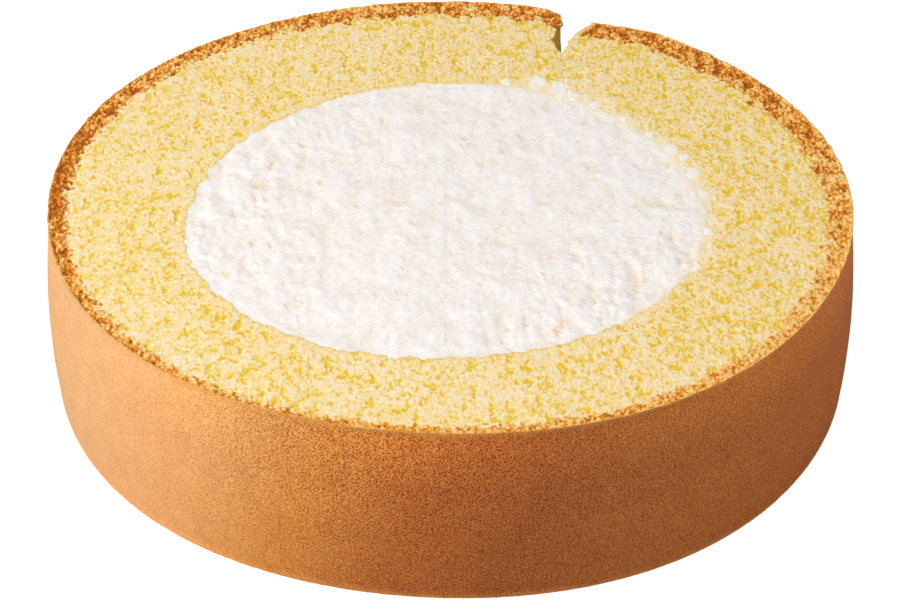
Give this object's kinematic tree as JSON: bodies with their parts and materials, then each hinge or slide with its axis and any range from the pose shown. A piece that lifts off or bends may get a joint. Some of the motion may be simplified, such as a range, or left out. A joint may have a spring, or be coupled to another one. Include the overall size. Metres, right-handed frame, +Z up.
{
  "type": "swiss roll cake",
  "caption": "Thick slice of a cream-filled cake roll lying flat: a strip of yellow sponge with a browned skin, bent round a core of whipped cream.",
  "frame": {"origin": "middle of the lower cut face, on the surface that the slice lies on", "axes": "+Z up along the roll's axis, from the lower cut face to the upper one; the seam where the strip's ends meet is at the back, towards +Y and a little to +X"},
  "size_m": [0.0866, 0.0866, 0.02],
  "materials": {
    "sponge": "matte, open-pored yellow crumb with an orange-brown baked skin",
    "cream": "soft satin whipped cream"
  },
  "bodies": {
    "root": {"sponge": "sponge", "cream": "cream"}
  },
  "joints": []
}
